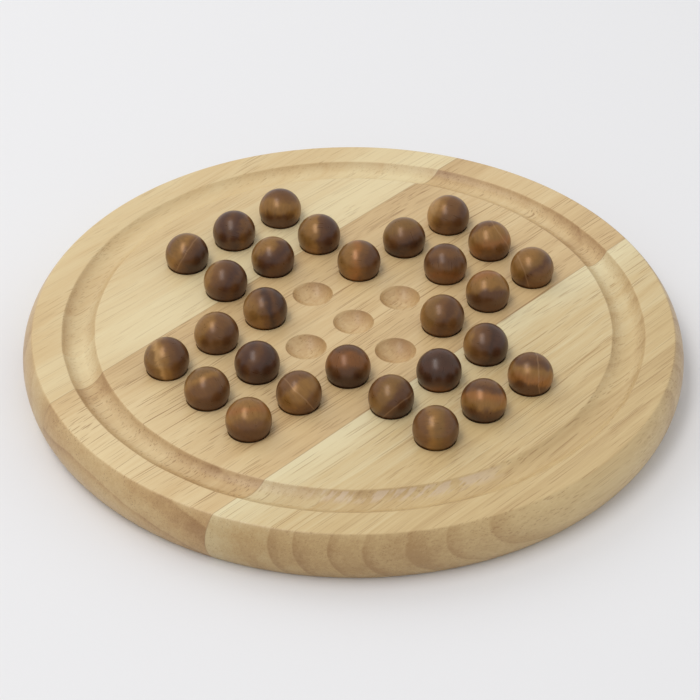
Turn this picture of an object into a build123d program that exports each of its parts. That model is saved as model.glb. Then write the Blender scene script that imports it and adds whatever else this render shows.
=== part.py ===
from build123d import *
import os
from math import cos, radians, sin, sqrt

# Marble solitaire board: a round board glued up from three rubberwood staves, with thirty-three
# dimples in an English cross, a marble in every dimple but the five in the middle, and a groove
# around the edge for the marbles that are out of play.
# Units are millimetres. The origin is the centre of the board's underside and +Z is up. +X runs
# along the rows of dimples and +Y from the front row to the back row.

# Board
BOARD_DIAMETER = 238.0  # at the widest, half way up the bulging side
BOARD_THICKNESS = 19.2
SIDE_BULGE = 3.8  # how far the side swells past the top and bottom edges
RIM_ROUND = 1.1  # rounding of the top and bottom edges

# Glue joints between the staves. The grain is turned a little from the rows of dimples.
GRAIN_ANGLE = 5.45  # degrees from +X towards +Y
BACK_JOINT_DISTANCE = 43.7  # from the board's centre, square to the grain
FRONT_JOINT_DISTANCE = 38.4

# Groove for captured marbles
GROOVE_CENTRE_RADIUS = 98.7
GROOVE_CUTTER_RADIUS = 7.7
GROOVE_DEPTH = 2.7
GROOVE_LIP_ROUND = 0.8

# Dimples
HOLE_PITCH = 22.5
DIMPLE_MOUTH_DIAMETER = 14.7
DIMPLE_DEPTH = 4.1
DIMPLE_LIP_ROUND = 0.25
ARM_REACH = 3  # dimples from the centre to the end of an arm
ARM_HALF_WIDTH = 1  # dimples from an arm's middle line to its edge
COLUMN_LETTERS = "abcdefg"

# Marbles
MARBLE_DIAMETER = 16.0
SEAT_CLEARANCE = 0.05  # between a marble and the bottom of its dimple

# Worked out from the dimensions above
RIM_RADIUS = BOARD_DIAMETER / 2 - SIDE_BULGE
GROOVE_CUTTER_RISE = GROOVE_CUTTER_RADIUS - GROOVE_DEPTH
GROOVE_HALF_WIDTH = sqrt(GROOVE_CUTTER_RADIUS**2 - GROOVE_CUTTER_RISE**2)
GROOVE_LIPS = [GROOVE_CENTRE_RADIUS - GROOVE_HALF_WIDTH, GROOVE_CENTRE_RADIUS + GROOVE_HALF_WIDTH]
MOUTH_RADIUS = DIMPLE_MOUTH_DIAMETER / 2
DIMPLE_RADIUS = (MOUTH_RADIUS**2 + DIMPLE_DEPTH**2) / (2 * DIMPLE_DEPTH)
DIMPLE_CENTRE_Z = BOARD_THICKNESS - DIMPLE_DEPTH + DIMPLE_RADIUS
MARBLE_CENTRE_Z = BOARD_THICKNESS - DIMPLE_DEPTH + SEAT_CLEARANCE + MARBLE_DIAMETER / 2
SAME_SIZE = 0.01  # two sizes nearer than this are the same one
ACROSS_GRAIN = Vector(-sin(radians(GRAIN_ANGLE)), cos(radians(GRAIN_ANGLE)), 0)

os.makedirs("parts", exist_ok=True)


def cross_holes():
    """Column and row of every dimple in the cross, counted from the centre."""
    steps = range(-ARM_REACH, ARM_REACH + 1)
    return [(c, r) for r in steps for c in steps if min(abs(c), abs(r)) <= ARM_HALF_WIDTH]


def is_empty(column, row):
    """The centre dimple and its four neighbours hold no marble."""
    return abs(column) + abs(row) <= 1


def hole_name(column, row):
    """Columns are letters from the left, rows are numbers from the front."""
    return f"{COLUMN_LETTERS[column + ARM_REACH]}{row + ARM_REACH + 1}"


def at_radius(corners, radius):
    """The corners of the board's section that lie at one distance from its axis."""
    return corners.filter_by(lambda corner: abs(corner.X - radius) < SAME_SIZE)


def circles_of_radius(edges, radius):
    """The circular edges of one radius."""
    circles = edges.filter_by(GeomType.CIRCLE)
    return circles.filter_by(lambda edge: abs(edge.radius - radius) < SAME_SIZE)


# The whole board as it is turned and drilled, before it is divided at its glue joints
with BuildPart() as board:
    with BuildSketch(Plane.XZ) as section:
        with BuildLine():
            Line((0, 0), (RIM_RADIUS, 0))
            ThreePointArc(
                (RIM_RADIUS, 0),
                (BOARD_DIAMETER / 2, BOARD_THICKNESS / 2),
                (RIM_RADIUS, BOARD_THICKNESS),
            )
            Line((RIM_RADIUS, BOARD_THICKNESS), (GROOVE_LIPS[1], BOARD_THICKNESS))
            ThreePointArc(
                (GROOVE_LIPS[1], BOARD_THICKNESS),
                (GROOVE_CENTRE_RADIUS, BOARD_THICKNESS - GROOVE_DEPTH),
                (GROOVE_LIPS[0], BOARD_THICKNESS),
            )
            Line((GROOVE_LIPS[0], BOARD_THICKNESS), (0, BOARD_THICKNESS))
            Line((0, BOARD_THICKNESS), (0, 0))
        make_face()
        fillet(at_radius(section.vertices(), RIM_RADIUS), RIM_ROUND)
        for lip_radius in GROOVE_LIPS:
            fillet(at_radius(section.vertices(), lip_radius), GROOVE_LIP_ROUND)
    revolve(axis=Axis.Z)
    hole_centres = [(c * HOLE_PITCH, r * HOLE_PITCH, DIMPLE_CENTRE_Z) for c, r in cross_holes()]
    with Locations(*hole_centres):
        Sphere(DIMPLE_RADIUS, mode=Mode.SUBTRACT)
    fillet(circles_of_radius(board.edges(), MOUTH_RADIUS), DIMPLE_LIP_ROUND)

back_joint = Plane(ACROSS_GRAIN * BACK_JOINT_DISTANCE, z_dir=ACROSS_GRAIN)
front_joint = Plane(ACROSS_GRAIN * -FRONT_JOINT_DISTANCE, z_dir=ACROSS_GRAIN)

with BuildPart() as stave_back:
    add(board.part)
    split(bisect_by=back_joint, keep=Keep.TOP)
stave_back.part.label = "stave_back"
export_step(stave_back.part, "parts/stave_back.step")

with BuildPart() as stave_middle:
    add(board.part)
    split(bisect_by=back_joint, keep=Keep.BOTTOM)
    split(bisect_by=front_joint, keep=Keep.TOP)
stave_middle.part.label = "stave_middle"
export_step(stave_middle.part, "parts/stave_middle.step")

with BuildPart() as stave_front:
    add(board.part)
    split(bisect_by=front_joint, keep=Keep.BOTTOM)
stave_front.part.label = "stave_front"
export_step(stave_front.part, "parts/stave_front.step")

# One marble in every dimple that isn't empty, named after its dimple
for column, row in cross_holes():
    if is_empty(column, row):
        continue
    name = f"marble_{hole_name(column, row)}"
    with BuildPart() as marble:
        with Locations((column * HOLE_PITCH, row * HOLE_PITCH, MARBLE_CENTRE_Z)):
            Sphere(MARBLE_DIAMETER / 2)
    marble.part.label = name
    export_step(marble.part, f"parts/{name}.step")
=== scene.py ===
from collections import namedtuple
from math import atan2, ceil, cos, pi, radians, sin, sqrt, tan

import bmesh
import bpy
from mathutils import Matrix, Vector, noise
from mathutils.geometry import delaunay_2d_cdt


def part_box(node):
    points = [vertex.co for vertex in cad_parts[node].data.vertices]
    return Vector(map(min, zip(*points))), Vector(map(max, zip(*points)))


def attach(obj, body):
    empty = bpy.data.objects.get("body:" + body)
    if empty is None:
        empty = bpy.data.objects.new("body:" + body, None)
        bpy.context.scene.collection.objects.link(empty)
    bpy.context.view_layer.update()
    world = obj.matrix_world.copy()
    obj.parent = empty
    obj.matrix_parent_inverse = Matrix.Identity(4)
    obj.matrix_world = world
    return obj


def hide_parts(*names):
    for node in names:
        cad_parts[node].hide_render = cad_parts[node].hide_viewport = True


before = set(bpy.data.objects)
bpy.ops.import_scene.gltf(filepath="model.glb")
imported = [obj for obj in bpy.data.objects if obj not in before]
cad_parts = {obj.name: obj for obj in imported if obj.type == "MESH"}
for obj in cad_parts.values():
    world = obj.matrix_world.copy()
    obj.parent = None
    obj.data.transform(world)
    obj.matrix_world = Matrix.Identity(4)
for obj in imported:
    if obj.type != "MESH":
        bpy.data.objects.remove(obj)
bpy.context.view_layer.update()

# ---------------------------------------------------------------------------------------------
# Sizes, in metres. What the frame can tell comes from the frame.
# ---------------------------------------------------------------------------------------------
MM = 0.001
MARBLES = sorted(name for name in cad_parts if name.startswith("marble_"))
MARBLE_NEIGHBOURS = ("marble_d1", "marble_e1")  # two marbles side by side in one row


def centre_of(node):
    """The middle of a CAD node's box."""
    low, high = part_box(node)
    return (low + high) / 2


MARBLE_RADIUS = (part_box(MARBLES[0])[1].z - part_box(MARBLES[0])[0].z) / 2
HOLE_PITCH = centre_of(MARBLE_NEIGHBOURS[1]).x - centre_of(MARBLE_NEIGHBOURS[0]).x
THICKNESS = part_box("stave_middle")[1].z

BOARD_RADIUS = 118.96 * MM  # the hand finish adds up to 0.04 mm, and that stays in the CAD box
SIDE_BULGE = 3.8 * MM
RIM_ROUND = 1.1 * MM
GROOVE_CENTRE = 98.7 * MM
GROOVE_CUTTER = 7.7 * MM
GROOVE_DEPTH = 2.7 * MM
GROOVE_LIP_ROUND = 0.8 * MM
DIMPLE_MOUTH = 7.35 * MM
DIMPLE_DEPTH = 4.1 * MM
DIMPLE_LIP_ROUND = 0.25 * MM
DIMPLE_CUTTER = (DIMPLE_MOUTH**2 + DIMPLE_DEPTH**2) / (2 * DIMPLE_DEPTH)
GRAIN_ANGLE = radians(5.45)
BACK_JOINT = 43.7 * MM  # distance of the glue joints from the centre, square to the grain
FRONT_JOINT = -38.4 * MM
PAINTED_SHEEN_SIDE = (cos(radians(240)), sin(radians(240)), 0.0)  # the side where the groove's inner wall has a painted sheen
INSIDE_GROOVE = 85.0 * MM  # a radius between the dimples and the groove
OUTSIDE_GROOVE = 106.5 * MM  # a radius between the groove and the rim's edge
ALONG_GRAIN = Vector((cos(GRAIN_ANGLE), sin(GRAIN_ANGLE), 0))
ACROSS_GRAIN = Vector((-sin(GRAIN_ANGLE), cos(GRAIN_ANGLE), 0))

# How far from true the pieces are
FINISH_DRIFT = 0.05 * MM  # of the turned faces
GROOVE_WANDER = 0.25 * MM  # of the groove, to and from the axis
STONE_SWELL = 0.03 * MM  # of a marble, in or out
STONE_GRINDING = 0.02 * MM  # what every marble loses, so that it stays in its CAD ball

# How finely the meshes are divided
BOARD_STEPS = 720  # around the rim
DIMPLE_STEPS = 72  # around a dimple
FLAT_SPACING = 2.2 * MM
UNDERSIDE_SPACING = 6.0 * MM
MARBLE_CUTS = 23  # on each edge of the cube that becomes a marble


# ---------------------------------------------------------------------------------------------
# Meshes
# ---------------------------------------------------------------------------------------------
def arc(centre, radius, start, end, steps):
    """Points on an arc in the board's section, as (distance from the axis, height)."""
    angles = [start + (end - start) * i / steps for i in range(steps + 1)]
    return [(centre[0] + radius * cos(a), centre[1] + radius * sin(a)) for a in angles]


def lip(cutter, depth, rounding):
    """A round-bottomed cut with rounded lips: how far out its lip starts, and the angle at
    which the cut meets the rounding, both seen from the cutter's centre."""
    rise = cutter - depth
    reach = sqrt((cutter + rounding) ** 2 - (rise + rounding) ** 2)
    return reach, atan2(rise + rounding, reach)


def groove_section():
    """From the flat inside the groove, over its inner lip, through it and over its outer lip."""
    reach, tilt = lip(GROOVE_CUTTER, GROOVE_DEPTH, GROOVE_LIP_ROUND)
    lip_height = THICKNESS - GROOVE_LIP_ROUND
    cutter = (GROOVE_CENTRE, THICKNESS + GROOVE_CUTTER - GROOVE_DEPTH)
    inner = arc((GROOVE_CENTRE - reach, lip_height), GROOVE_LIP_ROUND, pi / 2, tilt, 6)
    cut = arc(cutter, GROOVE_CUTTER, pi + tilt, 2 * pi - tilt, 22)
    outer = arc((GROOVE_CENTRE + reach, lip_height), GROOVE_LIP_ROUND, pi - tilt, pi / 2, 6)
    return inner + cut[1:-1] + outer


def rim_section():
    """From the rim's top edge round the bulging side to the underside."""
    half = THICKNESS / 2
    side_radius = (half**2 + SIDE_BULGE**2) / (2 * SIDE_BULGE)
    side_centre = BOARD_RADIUS - side_radius
    inset = sqrt((side_radius - RIM_ROUND) ** 2 - (half - RIM_ROUND) ** 2)
    tilt = atan2(half - RIM_ROUND, inset)
    edge = side_centre + inset
    top = arc((edge, THICKNESS - RIM_ROUND), RIM_ROUND, pi / 2, tilt, 6)
    side = arc((side_centre, half), side_radius, tilt, -tilt, 24)
    bottom = arc((edge, RIM_ROUND), RIM_ROUND, -tilt, -pi / 2, 6)
    return top + side[1:-1] + bottom


def dimple_section():
    """From a dimple's centre out over its lip to the flat."""
    reach, tilt = lip(DIMPLE_CUTTER, DIMPLE_DEPTH, DIMPLE_LIP_ROUND)
    cutter = (0, THICKNESS + DIMPLE_CUTTER - DIMPLE_DEPTH)
    cut = arc(cutter, DIMPLE_CUTTER, -pi / 2, -tilt, 18)
    lip_centre = (reach, THICKNESS - DIMPLE_LIP_ROUND)
    return cut[:-1] + arc(lip_centre, DIMPLE_LIP_ROUND, pi - tilt, pi / 2, 4)


def ring(mesh, centre, radius, height, steps):
    """A closed loop of vertices around a vertical axis."""
    turns = [2 * pi * i / steps for i in range(steps)]
    return [
        mesh.verts.new((centre[0] + radius * cos(t), centre[1] + radius * sin(t), height))
        for t in turns
    ]


def join_rings(mesh, first, second):
    """The quads between two loops of the same number of vertices."""
    for i, corner in enumerate(first):
        after = (i + 1) % len(first)
        mesh.faces.new((corner, first[after], second[after], second[i]))


def turn_section(mesh, section, centre, steps):
    """The surface that a section makes around a vertical axis. Returns its end loops."""
    loops = [ring(mesh, centre, radius, height, steps) for radius, height in section if radius]
    for first, second in zip(loops, loops[1:]):
        join_rings(mesh, first, second)
    if section[0][0] == 0:
        middle = mesh.verts.new((centre[0], centre[1], section[0][1]))
        for i, corner in enumerate(loops[0]):
            mesh.faces.new((middle, corner, loops[0][(i + 1) % steps]))
    return loops[0], loops[-1]


def fill_flat(mesh, outer, holes, height, spacing):
    """Triangles between an outer loop and the loops of round holes, all at one height.
    Each hole is (centre, radius, loop). The loops' own vertices are used."""
    loops = [outer] + [loop for _, _, loop in holes]
    corners = [vertex for loop in loops for vertex in loop]
    edges, start = [], 0
    for loop in loops:
        edges += [(start + i, start + (i + 1) % len(loop)) for i in range(len(loop))]
        start += len(loop)
    limit = outer[0].co.xy.length - spacing * 0.6
    rows = ceil(limit / spacing)
    inside = []
    for row in range(-rows, rows + 1):
        for column in range(-rows, rows + 1):
            place = Vector((column + 0.5 * (row % 2), row * sqrt(3) / 2)) * spacing
            clear = all((place - c).length > r + spacing * 0.6 for c, r, _ in holes)
            if place.length < limit and clear:
                inside.append(mesh.verts.new((place.x, place.y, height)))
    corners += inside
    plan = [vertex.co.xy for vertex in corners]
    places, _, triangles, originals, _, _ = delaunay_2d_cdt(plan, edges, [], 0, 1e-9)
    for triangle in triangles:
        middle = sum((places[i] for i in triangle), Vector((0, 0))) / 3
        if all((middle - c).length > r for c, r, _ in holes):
            mesh.faces.new([corners[originals[i][0]] for i in triangle])


def holes_of_the_cross():
    """The centre of every dimple of the English cross."""
    steps = range(-3, 4)
    cross = [(c, r) for r in steps for c in steps if min(abs(c), abs(r)) <= 1]
    return [Vector((c, r)) * HOLE_PITCH for c, r in cross]


def hand_finish(mesh):
    """Sanding leaves the turned faces very slightly uneven, and the groove wanders a little.
    The underside stays flat."""
    for vertex in mesh.verts:
        drift = noise.noise_vector(vertex.co * 40) * FINISH_DRIFT
        drift.z *= vertex.co.z / THICKNESS
        off_centre = abs(vertex.co.xy.length - GROOVE_CENTRE)
        if vertex.co.z > THICKNESS / 2 and off_centre < GROOVE_CUTTER:
            wander = noise.noise(vertex.co * 70) * GROOVE_WANDER
            drift += Vector((vertex.co.x, vertex.co.y, 0)).normalized() * wander
        vertex.co += drift


def board_mesh():
    """The whole board as turned and drilled, before it is divided at its glue joints."""
    mesh = bmesh.new()
    holes = []
    for centre in holes_of_the_cross():
        _, mouth = turn_section(mesh, dimple_section(), centre, DIMPLE_STEPS)
        holes.append((centre, (mouth[0].co.xy - centre).length, mouth))
    section = groove_section() + rim_section()
    inner, under = turn_section(mesh, section, (0, 0), BOARD_STEPS)
    fill_flat(mesh, inner, holes, THICKNESS, FLAT_SPACING)
    fill_flat(mesh, under, [], 0, UNDERSIDE_SPACING)
    bmesh.ops.recalc_face_normals(mesh, faces=mesh.faces)
    hand_finish(mesh)
    return mesh


def cut_away(mesh, distance, keep_behind):
    """Cuts the board square to the grain's side at a distance, and closes the cut face."""
    cut = bmesh.ops.bisect_plane(
        mesh,
        geom=mesh.verts[:] + mesh.edges[:] + mesh.faces[:],
        dist=1e-8,
        plane_co=ACROSS_GRAIN * distance,
        plane_no=ACROSS_GRAIN,
        clear_outer=keep_behind,
        clear_inner=not keep_behind,
    )
    edges = [part for part in cut["geom_cut"] if isinstance(part, bmesh.types.BMEdge)]
    bmesh.ops.holes_fill(mesh, edges=edges, sides=0)


def make_piece(name, mesh, body, replaced, sharp_angle):
    """An object from a finished bmesh, riding on its body in place of a CAD node."""
    data = bpy.data.meshes.new(name)
    bmesh.ops.recalc_face_normals(mesh, faces=mesh.faces)
    mesh.to_mesh(data)
    mesh.free()
    data.shade_smooth()
    data.set_sharp_from_angle(angle=sharp_angle)
    piece = bpy.data.objects.new(name, data)
    bpy.context.scene.collection.objects.link(piece)
    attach(piece, body)
    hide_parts(replaced)
    return piece


def make_stave(name, board, front, back):
    """One stave of the board: what lies between two distances across the grain."""
    mesh = board.copy()
    if front is not None:
        cut_away(mesh, front, keep_behind=False)
    if back is not None:
        cut_away(mesh, back, keep_behind=True)
    return make_piece(f"{name}_wood", mesh, "board", name, radians(40))


def make_marble(node):
    """A ground stone marble, which is never quite a perfect ball."""
    centre = centre_of(node)
    mesh = bmesh.new()
    bmesh.ops.create_cube(mesh, size=2)
    bmesh.ops.subdivide_edges(mesh, edges=mesh.edges, cuts=MARBLE_CUTS, use_grid_fill=True)
    for vertex in mesh.verts:
        direction = Vector([tan(side * pi / 4) for side in vertex.co]).normalized()
        place = centre + direction * MARBLE_RADIUS
        swell = noise.noise(place * 150) * STONE_SWELL - STONE_GRINDING
        vertex.co = place + direction * swell
    return make_piece(f"{node}_stone", mesh, node, node, radians(180))


# ---------------------------------------------------------------------------------------------
# Materials
# ---------------------------------------------------------------------------------------------
def linear(red, green, blue):
    """A colour given as the screen shows it, from 0 to 255, as the shader wants it."""
    def one(value):
        value /= 255
        return value / 12.92 if value <= 0.04045 else ((value + 0.055) / 1.055) ** 2.4
    return one(red), one(green), one(blue), 1.0


class Nodes:
    """A material's node tree, with a short call for each kind of node used here."""

    def __init__(self, name):
        self.material = bpy.data.materials.new(name)
        self.material.use_nodes = True
        self.tree = self.material.node_tree
        self.surface = self.tree.nodes["Principled BSDF"]

    def feed(self, socket, value):
        if isinstance(value, bpy.types.NodeSocket):
            self.tree.links.new(value, socket)
        else:
            socket.default_value = value

    def add(self, kind, inputs, **settings):
        node = self.tree.nodes.new(kind)
        for key, value in settings.items():
            setattr(node, key, value)
        for key, value in inputs.items():
            self.feed(node.inputs[key], value)
        return node

    def place(self):
        """Where a point of the piece is, in millimetres, wherever the piece has moved to."""
        here = self.add("ShaderNodeTexCoord", {}).outputs["Object"]
        return self.vector("MULTIPLY", here, (1 / MM,) * 3)

    def math(self, operation, a, b=0.0, c=0.0, clamp=False):
        node = self.add("ShaderNodeMath", {0: a, 1: b, 2: c}, operation=operation)
        node.use_clamp = clamp
        return node.outputs[0]

    def vector(self, operation, a, b=(0, 0, 0)):
        node = self.add("ShaderNodeVectorMath", {0: a, 1: b}, operation=operation)
        return node.outputs["Value" if operation in ("LENGTH", "DOT_PRODUCT") else "Vector"]

    def split(self, vector):
        return self.add("ShaderNodeSeparateXYZ", {0: vector}).outputs

    def join(self, x, y, z):
        return self.add("ShaderNodeCombineXYZ", {0: x, 1: y, 2: z}).outputs[0]

    def noise(self, vector, detail=2.0, roughness=0.5):
        inputs = {"Vector": vector, "Scale": 1.0, "Detail": detail, "Roughness": roughness}
        return self.add("ShaderNodeTexNoise", inputs)

    def cells(self, vector):
        return self.add("ShaderNodeTexVoronoi", {"Vector": vector, "Scale": 1.0})

    def remap(self, value, low, high, to_low=0.0, to_high=1.0, smooth=False):
        kind = "SMOOTHSTEP" if smooth else "LINEAR"
        inputs = {0: value, 1: low, 2: high, 3: to_low, 4: to_high}
        return self.add("ShaderNodeMapRange", inputs, interpolation_type=kind).outputs[0]

    def mix(self, share, a, b, blend="MIX"):
        node = self.add("ShaderNodeMix", {}, data_type="RGBA", blend_type=blend)
        for index, value in ((0, share), (6, a), (7, b)):
            self.feed(node.inputs[index], value)
        return node.outputs[2]

    def ramp(self, value, stops, kind="LINEAR"):
        """A colour ramp from (position, colour) pairs."""
        node = self.add("ShaderNodeValToRGB", {0: value})
        node.color_ramp.interpolation = kind
        elements = node.color_ramp.elements
        while len(elements) < len(stops):
            elements.new(0.5)
        for element, (position, colour) in zip(elements, stops):
            element.position = position
            element.color = colour
        return node.outputs[0]

    def profile(self, where, pairs):
        """A value that follows (millimetres, value) pairs."""
        low, high = pairs[0][0], pairs[-1][0]
        stops = [((at - low) / (high - low), grey(value + 1)) for at, value in pairs]
        return self.math("SUBTRACT", self.ramp(self.remap(where, low, high), stops), 1.0)

    def wobble(self, vector, reach, detail=2.0):
        """Noise about zero, as a vector that reaches so far each way."""
        colour = self.noise(vector, detail).outputs["Color"]
        return self.vector("MULTIPLY", self.vector("SUBTRACT", colour, (0.5,) * 3), reach)

    def bump(self, height, distance):
        inputs = {"Height": height, "Distance": distance, "Strength": 1.0}
        return self.add("ShaderNodeBump", inputs).outputs[0]


def grey(shade):
    """A grey colour for a ramp that stands for a plain number."""
    return shade, shade, shade, 1.0


# pale, tan and dark are the wood's three tones. pith is where the tree's middle lay, as
# millimetres across the grain and up, and ring_gap the millimetres between growth rings. bands,
# streaks and pores say how strongly each shows. start picks the stretch of wood. The rest are
# profiles, as (millimetres, value) pairs. Across the grain, across is the tone, from 0 pale to
# 1 dark, rings the strength of the rings, and groove how much darker the groove is where it cuts
# the grain's end. along is what is added to the tone along the grain.
Wood = namedtuple(
    "Wood", "pale tan dark pith ring_gap bands streaks pores start across rings groove along"
)
STAVE_WOODS = {
    "stave_back": Wood(
        pale=linear(228, 211, 166), tan=linear(214, 187, 137), dark=linear(186, 153, 104),
        pith=(150, -60), ring_gap=12, bands=0.6, streaks=0.3, pores=0.35, start=(310, 40, 7),
        across=[(43, 0.12), (50, 0.0), (58, 0.02), (68, 0.2), (92, 0.46), (104, 0.3), (119, 0.3)],
        rings=[(43, 0.1), (119, 0.16)],
        groove=[(43, 0.0), (62, 0.0), (74, 1.0), (119, 1.0)],
        along=[(-119, 0.24), (-88, 0.22), (-62, 0.02), (119, 0.0)],
    ),
    "stave_middle": Wood(
        pale=linear(229, 208, 161), tan=linear(212, 183, 133), dark=linear(182, 147, 99),
        pith=(20, -140), ring_gap=11, bands=0.5, streaks=0.5, pores=0.75, start=(20, 5, 90),
        across=[(-39, 0.68), (-25, 0.46), (2, 0.3), (26, 0.4), (44, 0.6)],
        rings=[(-39, 0.2), (44, 0.18)],
        groove=[(-39, 0.7), (44, 0.7)],
        along=[(-119, -0.18), (-70, -0.04), (0, 0.04), (60, 0.02), (119, 0.02)],
    ),
    "stave_front": Wood(
        pale=linear(226, 212, 169), tan=linear(208, 182, 131), dark=linear(178, 145, 95),
        pith=(-150, 35), ring_gap=8, bands=0.5, streaks=0.45, pores=0.5, start=(170, 80, 33),
        across=[(-119, 0.62), (-95, 0.6), (-75, 0.5), (-54, 0.36), (-40, 0.04)],
        rings=[(-119, 0.2), (-57, 0.16), (-50, 0.02), (-38, 0.02)],
        groove=[(-119, 0.6), (-38, 0.6)],
        along=[(-119, 0.0), (30, 0.0), (95, -0.02), (119, 0.04)],
    ),
}


def stretched(n, vector, along, across):
    """A place scaled down so that a pattern is so long and so wide, in millimetres."""
    return n.vector("DIVIDE", vector, (along, across, across))


# place is a point of the board, and straight the same turned so that X runs along the grain.
# around follows the grain's wander, and bent does too, in the stave's own stretch of wood. end_on
# is how far a surface faces along the grain.
Grain = namedtuple("Grain", "place straight around bent normal end_on")


def lay_grain(n, look):
    """How the grain lies in a stave."""
    place = n.place()
    turn = {"Vector": place, "Rotation": (0, 0, -GRAIN_ANGLE)}
    straight = n.add("ShaderNodeMapping", turn).outputs[0]
    shifted = n.vector("ADD", straight, look.start)
    wander = n.wobble(stretched(n, shifted, 120, 40), (0, 8, 8))
    normal = n.add("ShaderNodeNewGeometry", {}).outputs["Normal"]
    facing = n.math("ABSOLUTE", n.vector("DOT_PRODUCT", normal, tuple(ALONG_GRAIN)))
    around = n.vector("ADD", straight, wander)
    bent = n.vector("ADD", shifted, wander)
    return Grain(place, straight, around, bent, normal, n.remap(facing, 0.15, 0.85))


def late_wood(n, grain, look):
    """Growth rings around the pith: each darkens slowly and ends sharply."""
    _, across, height = n.split(grain.around)
    pith_across, pith_height = look.pith
    sideways = n.math("SUBTRACT", across, pith_across)
    upwards = n.math("SUBTRACT", height, pith_height)
    out = n.vector("LENGTH", n.join(0.0, sideways, upwards))
    uneven = n.noise(n.join(0.0, 0.0, n.math("DIVIDE", out, look.ring_gap * 2.1))).outputs[0]
    phase = n.math("MULTIPLY_ADD", uneven, 2.2, n.math("DIVIDE", out, look.ring_gap))
    stops = [(0, grey(0.1)), (0.55, grey(0.2)), (0.92, grey(1)), (0.985, grey(0.1))]
    return n.ramp(n.math("FRACT", phase), stops)


def wood_colour(n, grain, look, broad, streak, fibre):
    """The wood's tone: broad bands, streaks, fibres and rings, which show most end on."""
    along, across, _ = n.split(grain.straight)
    tone = n.math("ADD", n.profile(across, look.across), n.profile(along, look.along))
    for value, share in ((broad, look.bands), (streak, look.streaks), (fibre, 0.3)):
        tone = n.math("MULTIPLY_ADD", n.math("SUBTRACT", value, 0.5), share, tone)
    tone = n.math("MULTIPLY", tone, n.remap(grain.end_on, 0.0, 1.0, 1.0, 1.5))
    ring_share = n.remap(grain.end_on, 0.0, 1.0, 1.0, 2.6)
    ring_share = n.math("MULTIPLY", n.profile(across, look.rings), ring_share)
    late = n.math("SUBTRACT", late_wood(n, grain, look), 0.3)
    tone = n.math("MULTIPLY_ADD", late, ring_share, tone)
    return n.ramp(tone, [(0.0, look.pale), (0.5, look.tan), (1.0, look.dark)])


def vessels(n, grain):
    """Vessels cut open: thin dark dashes along the grain, and dots on the end grain."""
    patchy = n.remap(n.noise(stretched(n, grain.bent, 70, 6), 2).outputs[0], 0.38, 0.6)
    frayed = n.vector("ADD", grain.bent, n.wobble(stretched(n, grain.bent, 12, 2), (8, 0.3, 0.3)))
    pore = 0.0
    for along, side, radius in ((75, 0.58, 0.15), (110, 0.85, 0.13), (150, 1.6, 0.1)):
        off = n.cells(stretched(n, frayed, along, side)).outputs["Distance"]
        vessel = n.remap(off, radius, radius * 1.9, 1.0, 0.0, smooth=True)
        pore = n.math("MAXIMUM", pore, vessel)
    pore = n.math("MULTIPLY", pore, n.math("MULTIPLY_ADD", patchy, 0.6, 0.4))
    return n.math("MULTIPLY", pore, n.math("MULTIPLY_ADD", grain.end_on, -0.35, 1.0))


def glue_lines(n, grain, colour):
    """A thin darker line along each glue joint."""
    _, across, _ = n.split(grain.straight)
    for joint in (BACK_JOINT, FRONT_JOINT):
        off = n.math("ABSOLUTE", n.math("SUBTRACT", across, joint / MM))
        line = n.remap(off, 0.06, 0.25, 0.5, 0.0, smooth=True)
        colour = n.mix(line, colour, linear(150, 118, 78))
    return colour


def cuts(n, place):
    """Whether a point is in a dimple or in the groove, and the cutter's marks in both, as fine
    rings about their own axes."""
    x, y, z = n.split(place)
    pitch = HOLE_PITCH / MM
    dx = n.math("MULTIPLY_ADD", n.math("ROUND", n.math("DIVIDE", x, pitch)), -pitch, x)
    dy = n.math("MULTIPLY_ADD", n.math("ROUND", n.math("DIVIDE", y, pitch)), -pitch, y)
    from_hole = n.vector("LENGTH", n.join(dx, dy, 0.0))
    from_axis = n.vector("LENGTH", n.join(x, y, 0.0))
    top = THICKNESS / MM
    sunk = n.remap(z, top - 0.7, top - 0.2, 1.0, 0.0)
    sunk = n.math("MULTIPLY", sunk, n.math("GREATER_THAN", z, top / 2))
    in_dimple = n.math("MULTIPLY", sunk, n.math("LESS_THAN", from_axis, INSIDE_GROOVE / MM))
    in_cuts = n.math("MULTIPLY", sunk, n.math("LESS_THAN", from_axis, OUTSIDE_GROOVE / MM))
    in_groove = n.math("SUBTRACT", in_cuts, in_dimple)
    marks = n.math("SINE", n.math("MULTIPLY", from_hole, 2 * pi / 0.7))
    marks = n.math("MULTIPLY", marks, in_dimple)
    rows = n.math("SINE", n.math("MULTIPLY", from_axis, 2 * pi / 1.1))
    return in_dimple, in_groove, n.math("MULTIPLY_ADD", rows, in_groove, marks)


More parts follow.
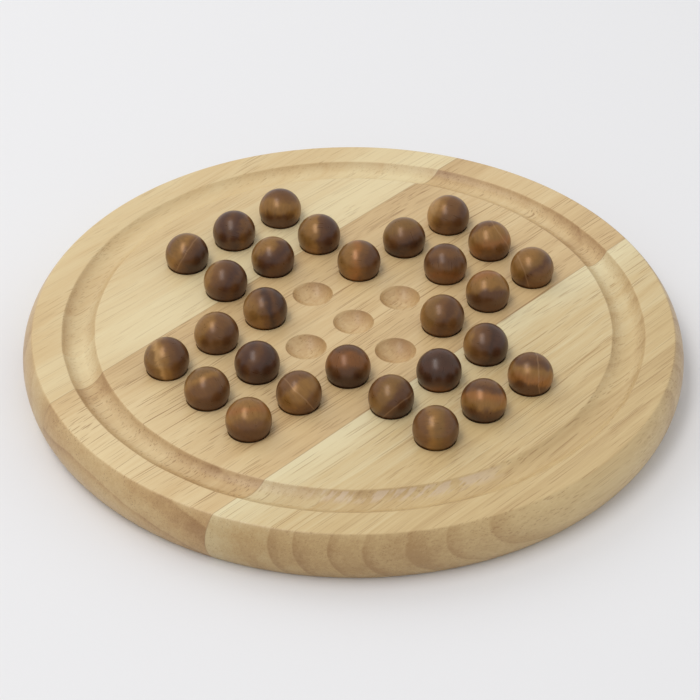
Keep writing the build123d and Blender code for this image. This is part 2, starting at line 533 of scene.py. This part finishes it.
def groove_tints(n, grain, look, broad, in_groove, colour):
    """The groove is darker where it cuts the grain's end, most of all at the grain's left end,
    and patches of its inner wall at the front get a painted sheen, a greyer tint that stands in
    for the reflection there. Returns the darkened colour and the share of painted sheen."""
    x, y, _ = n.split(grain.place)
    outwards = n.vector("NORMALIZE", n.join(x, y, 0.0))
    _, across, _ = n.split(grain.straight)

    to_left_end = n.vector("DOT_PRODUCT", outwards, tuple(-ALONG_GRAIN))
    cut_end = n.remap(to_left_end, 0.2, 0.8)
    cut_end = n.math("MAXIMUM", cut_end, n.remap(to_left_end, -0.76, -0.97, 0.0, 0.25))
    cut_end = n.math("MULTIPLY", cut_end, n.remap(broad, 0.35, 0.6, 0.6, 1.0))
    groove_share = n.math("MULTIPLY", in_groove, n.profile(across, look.groove))
    cut_end = n.math("MULTIPLY", cut_end, groove_share)
    colour = n.mix(cut_end, colour, (0.79, 0.71, 0.62, 1), "MULTIPLY")

    # painted sheen: greyer patches on the groove's inner wall at the front, in place of a
    # reflection
    painted_sheen = n.noise(n.vector("MULTIPLY", grain.bent, (0.09, 0.5, 0.1)), 2).outputs[0]
    painted_sheen = n.remap(painted_sheen, 0.44, 0.52)
    facing = n.remap(n.vector("DOT_PRODUCT", grain.normal, PAINTED_SHEEN_SIDE), 0.15, 0.4)
    spot = n.remap(n.vector("DOT_PRODUCT", outwards, PAINTED_SHEEN_SIDE), 0.925, 0.97)
    for share in (facing, spot, in_groove):
        painted_sheen = n.math("MULTIPLY", painted_sheen, share)
    return colour, painted_sheen


def wood_material(name, look):
    """Rubberwood, solid all through: the same growth rings, streaks and pores show along the
    grain on the top, and end on around the rim, in the groove and in the dimples."""
    n = Nodes(f"{name}_rubberwood")
    grain = lay_grain(n, look)
    broad = n.noise(stretched(n, grain.bent, 95, 7), 3).outputs[0]
    streak = n.noise(stretched(n, grain.bent, 40, 1.1), 4, 0.62).outputs[0]
    fibre = n.noise(stretched(n, grain.bent, 9, 0.28), 2, 0.6).outputs[0]
    colour = wood_colour(n, grain, look, broad, streak, fibre)
    pore = vessels(n, grain)
    colour = n.mix(n.math("MULTIPLY", pore, look.pores), colour, linear(148, 108, 66))

    # end grain drinks more lacquer
    colour = n.mix(grain.end_on, colour, (0.71, 0.625, 0.52, 1), "MULTIPLY")
    colour = glue_lines(n, grain, colour)

    # the cuts show the cutter's marks, and the dimples have fuzz and are darker: partly the cut
    # end grain's own tan, partly painted shade in the hollows
    in_dimple, in_groove, marks = cuts(n, grain.place)
    colour, painted_sheen = groove_tints(n, grain, look, broad, in_groove, colour)
    # painted shade in the dimples, mixed with their end grain's own tan
    colour = n.mix(n.math("MULTIPLY", in_dimple, 0.25), colour, linear(188, 150, 100))
    # painted sheen: a greyer tint on the groove's inner wall at the front, standing in for a
    # reflection
    colour = n.mix(n.math("MULTIPLY", painted_sheen, 0.6), colour, linear(211, 190, 163))
    fuzz = n.noise(n.vector("MULTIPLY", grain.place, (0.55,) * 3), 3).outputs[0]
    fuzz = n.math("MULTIPLY", n.remap(fuzz, 0.42, 0.62), in_dimple)
    colour = n.mix(n.math("MULTIPLY", fuzz, 0.35), colour, linear(186, 146, 98))

    height = n.math("MULTIPLY", marks, 0.05)
    for value, share in ((streak, 0.5), (fibre, 0.25), (fuzz, 0.3), (pore, -0.7)):
        height = n.math("MULTIPLY_ADD", value, share, height)
    rough = n.math("MULTIPLY_ADD", pore, 0.2, n.remap(streak, 0.3, 0.7, 0.42, 0.54))
    n.feed(n.surface.inputs["Base Color"], colour)
    n.feed(n.surface.inputs["Roughness"], rough)
    n.feed(n.surface.inputs["Normal"], n.bump(height, 0.05 * MM))
    n.surface.inputs["Coat Weight"].default_value = 0.35
    n.surface.inputs["Coat Roughness"].default_value = 0.3
    return n.material


STONES = {
    "dark": linear(67, 40, 22),
    "plum": linear(77, 47, 29),
    "umber": linear(93, 59, 30),
    "brown": linear(112, 75, 38),
    "rust": linear(122, 76, 34),
    "olive": linear(125, 90, 44),
    "gold": linear(143, 103, 51),
    "orange": linear(149, 99, 48),
    "pale": linear(173, 133, 80),
}
# Each marble's bands, listed from one side to the other. towards is the side that they are
# listed towards, and vein is the side and the place, from -1 to 1, of a thin pale line. Sides are
# degrees as seen from the camera: 0 is right and 90 is up. The bands hold painted light and shade
# as well as the stone's own banding: on nearly every marble the gold lies towards the upper left,
# where the light falls, and the dark towards the lower right.
Stone = namedtuple("Stone", "towards bands vein", defaults=[None])
MARBLE_STONES = {
    "c7": Stone(-32, "brown olive gold brown umber dark dark", (-32, 0.0)),
    "d7": Stone(-10, "umber plum umber plum brown umber"),
    "e7": Stone(85, "umber umber gold gold brown umber"),
    "c6": Stone(-25, "gold brown umber plum umber plum"),
    "d6": Stone(-50, "gold gold umber plum umber plum"),
    "e6": Stone(0, "olive gold gold umber plum umber"),
    "a5": Stone(20, "brown olive pale gold brown umber umber"),
    "b5": Stone(-30, "gold gold brown brown umber umber"),
    "c5": Stone(20, "gold gold brown dark umber dark"),
    "e5": Stone(0, "olive gold orange brown umber umber"),
    "f5": Stone(-70, "olive olive brown umber dark umber"),
    "g5": Stone(-20, "pale gold brown brown umber umber"),
    "a4": Stone(-60, "olive gold brown brown umber umber"),
    "b4": Stone(-20, "umber plum umber plum dark plum"),
    "f4": Stone(-90, "umber brown umber brown rust brown"),
    "g4": Stone(-70, "brown gold gold orange brown umber", (35, 0.55)),
    "a3": Stone(-80, "gold orange gold brown umber umber"),
    "b3": Stone(-50, "brown brown gold gold brown umber", (45, 0.0)),
    "c3": Stone(-90, "umber rust rust umber dark dark"),
    "e3": Stone(-20, "gold olive brown umber brown umber"),
    "f3": Stone(-85, "orange gold gold umber umber umber"),
    "g3": Stone(-50, "gold gold olive umber brown brown", (20, -0.45)),
    "c2": Stone(-40, "brown olive olive umber umber dark", (-50, 0.45)),
    "d2": Stone(90, "rust plum dark plum dark plum"),
    "e2": Stone(-10, "gold brown umber dark plum dark"),
    "c1": Stone(0, "brown brown gold olive brown umber"),
    "d1": Stone(85, "dark umber gold orange umber brown"),
    "e1": Stone(80, "umber umber orange gold umber brown", (5, 0.3)),
}


def stone_material(node, look):
    """Tiger's eye: soft bands of gold and dark brown, with silky fibres square to them. The
    bands hold painted light and shade as well: lit gold towards the upper left, shaded dark below
    right.
    """
    n = Nodes(f"{node}_tigers_eye")
    centre = centre_of(node) / MM
    radius = MARBLE_RADIUS / MM
    ball = n.vector("DIVIDE", n.vector("SUBTRACT", n.place(), tuple(centre)), (radius,) * 3)
    shifted = n.vector("ADD", ball, tuple(centre * 0.37))

    across = side_seen(look.towards)
    band = n.vector("DOT_PRODUCT", ball, tuple(across))
    squeeze = tuple(across * -7.0)
    fine = n.vector("MULTIPLY", shifted, (8.5,) * 3)
    pull = {0: squeeze, "Scale": band}
    drawn = n.add("ShaderNodeVectorMath", pull, operation="SCALE").outputs[0]
    fibre = n.noise(n.vector("ADD", fine, drawn), 3, 0.6).outputs[0]
    wander = n.noise(n.vector("MULTIPLY", shifted, (1.3,) * 3), 2).outputs[0]
    ripple = n.noise(n.vector("MULTIPLY", shifted, (4.0,) * 3), 2).outputs[0]
    where = n.math("MULTIPLY_ADD", n.math("SUBTRACT", wander, 0.5), 0.7, band)
    where = n.math("MULTIPLY_ADD", n.math("SUBTRACT", ripple, 0.5), 0.16, where)
    where = n.math("MULTIPLY_ADD", n.math("SUBTRACT", fibre, 0.5), 0.16, where)
    # the bands carry painted light and shade: gold mostly towards the upper left, dark towards
    # the lower right
    names = look.bands.split()
    stops = [((i + 0.5) / len(names), STONES[name]) for i, name in enumerate(names)]
    colour = n.ramp(n.remap(where, -1.0, 1.0), stops, "EASE")
    shade = n.remap(fibre, 0.25, 0.75, 0.86, 1.14)
    colour = n.mix(1.0, colour, n.join(shade, shade, shade), "MULTIPLY")
    if look.vein:
        side, offset = look.vein
        off = n.vector("DOT_PRODUCT", ball, tuple(side_seen(side)))
        off = n.math("MULTIPLY_ADD", n.math("SUBTRACT", wander, 0.5), 0.25, off)
        off = n.math("ABSOLUTE", n.math("SUBTRACT", off, offset))
        line = n.remap(off, 0.01, 0.05, 0.22, 0.0, smooth=True)
        colour = n.mix(line, colour, linear(190, 152, 112))

    # the gold bands have a silky, metallic glow
    glow = n.remap(n.split(colour)[0], 0.06, 0.26, 0.0, 0.25)
    n.feed(n.surface.inputs["Base Color"], colour)
    n.feed(n.surface.inputs["Metallic"], glow)
    n.feed(n.surface.inputs["Roughness"], n.remap(fibre, 0.3, 0.7, 0.27, 0.34))
    n.feed(n.surface.inputs["Normal"], n.bump(ripple, 0.03 * MM))
    n.surface.inputs["Specular IOR Level"].default_value = 0.5
    return n.material


# ---------------------------------------------------------------------------------------------
# Camera, light and floor
# ---------------------------------------------------------------------------------------------
CAMERA_AZIMUTH = radians(-41.58)
CAMERA_ELEVATION = radians(37.41)
CAMERA_ROLL = radians(0.33)
CAMERA_DISTANCE = 0.9288
CAMERA_TARGET = Vector((-12.04 * MM, -11.73 * MM, THICKNESS))
CAMERA_LENS = 134.7  # millimetres, on a 36 mm sensor
FLOOR_RADIUS = 4.0
FLOOR_HEIGHT = 0.05 * MM

TOWARDS_CAMERA = Vector((
    sin(CAMERA_AZIMUTH) * cos(CAMERA_ELEVATION),
    -cos(CAMERA_AZIMUTH) * cos(CAMERA_ELEVATION),
    sin(CAMERA_ELEVATION),
))
TO_THE_RIGHT = Vector((cos(CAMERA_AZIMUTH), sin(CAMERA_AZIMUTH), 0))
UPWARDS = TOWARDS_CAMERA.cross(TO_THE_RIGHT)


def side_seen(degrees):
    """A direction in the camera's plane: 0 is to the right and 90 is up."""
    return TO_THE_RIGHT * cos(radians(degrees)) + UPWARDS * sin(radians(degrees))


def axes_to_matrix(x, y, z, place):
    """The matrix that puts an object's own axes along three directions, at a place."""
    return Matrix.Translation(place) @ Matrix((x, y, z)).transposed().to_4x4()


def make_camera():
    """The camera at the photograph's viewing angle."""
    data = bpy.data.cameras.new("camera")
    data.lens = CAMERA_LENS
    data.sensor_width = 36.0
    camera = bpy.data.objects.new("camera", data)
    roll = Matrix.Rotation(CAMERA_ROLL, 3, TOWARDS_CAMERA)
    place = CAMERA_TARGET + TOWARDS_CAMERA * CAMERA_DISTANCE
    camera.matrix_world = axes_to_matrix(
        roll @ TO_THE_RIGHT, roll @ UPWARDS, TOWARDS_CAMERA, place
    )
    bpy.context.scene.collection.objects.link(camera)
    bpy.context.scene.camera = camera


def make_light(name, direction, distance, along, length, width, power, colour, reflected):
    """A soft rectangular light that faces the board, with its length along a direction. Only
    a reflected light makes highlights."""
    data = bpy.data.lights.new(name, "AREA")
    data.shape = "RECTANGLE"
    data.size, data.size_y = width, length
    data.energy = power
    data.color = colour
    light = bpy.data.objects.new(name, data)
    light.visible_glossy = reflected
    z = Vector(direction).normalized()
    x = Vector(along).cross(z).normalized()
    light.matrix_world = axes_to_matrix(x, z.cross(x), z, z * distance)
    bpy.context.scene.collection.objects.link(light)


def make_stage():
    """A pale floor, wide enough that no edge shows, under a pale sky. It lies a hair above the
    board's underside, so that the underside is in front of it in a view from below."""
    data = bpy.data.meshes.new("floor")
    mesh = bmesh.new()
    bmesh.ops.create_circle(mesh, cap_ends=True, segments=96, radius=FLOOR_RADIUS)
    bmesh.ops.translate(mesh, verts=mesh.verts, vec=(0, 0, FLOOR_HEIGHT))
    mesh.to_mesh(data)
    mesh.free()
    floor = bpy.data.objects.new("floor", data)
    bpy.context.scene.collection.objects.link(floor)
    n = Nodes("floor_paper")
    n.surface.inputs["Base Color"].default_value = (0.82, 0.825, 0.835, 1)
    n.surface.inputs["Roughness"].default_value = 0.8
    floor.data.materials.append(n.material)
    world = bpy.data.worlds.new("sky")
    world.use_nodes = True
    sky = world.node_tree.nodes["Background"]
    sky.inputs["Color"].default_value = (0.97, 0.98, 1.0, 1)
    sky.inputs["Strength"].default_value = 0.64
    bpy.context.scene.world = world


make_camera()
make_stage()
make_light(
    "strip", direction=(-0.40, 0.03, 0.89), distance=2.4, along=(0.77, 0.88, 0.28),
    length=2.25, width=0.72, power=19.5, colour=(1.0, 0.95, 0.92), reflected=True,
)
make_light(
    "window", direction=(-0.1, 0.75, 0.65), distance=1.6, along=(1, 0, 0),
    length=1.0, width=1.0, power=4.8, colour=(1.0, 0.99, 0.98), reflected=False,
)
make_light(
    "fill", direction=(0.75, -0.35, 0.5), distance=2.0, along=(1, 0, 0),
    length=1.0, width=1.0, power=1.6, colour=(1.0, 0.99, 0.98), reflected=False,
)
bpy.context.scene.view_settings.view_transform = "Standard"

# ---------------------------------------------------------------------------------------------
# The pieces
# ---------------------------------------------------------------------------------------------
board = board_mesh()
staves = {
    "stave_back": make_stave("stave_back", board, BACK_JOINT, None),
    "stave_middle": make_stave("stave_middle", board, FRONT_JOINT, BACK_JOINT),
    "stave_front": make_stave("stave_front", board, None, FRONT_JOINT),
}
board.free()
for name, piece in staves.items():
    piece.data.materials.append(wood_material(name, STAVE_WOODS[name]))
for node in MARBLES:
    stone = stone_material(node, MARBLE_STONES[node[-2:]])
    make_marble(node).data.materials.append(stone)
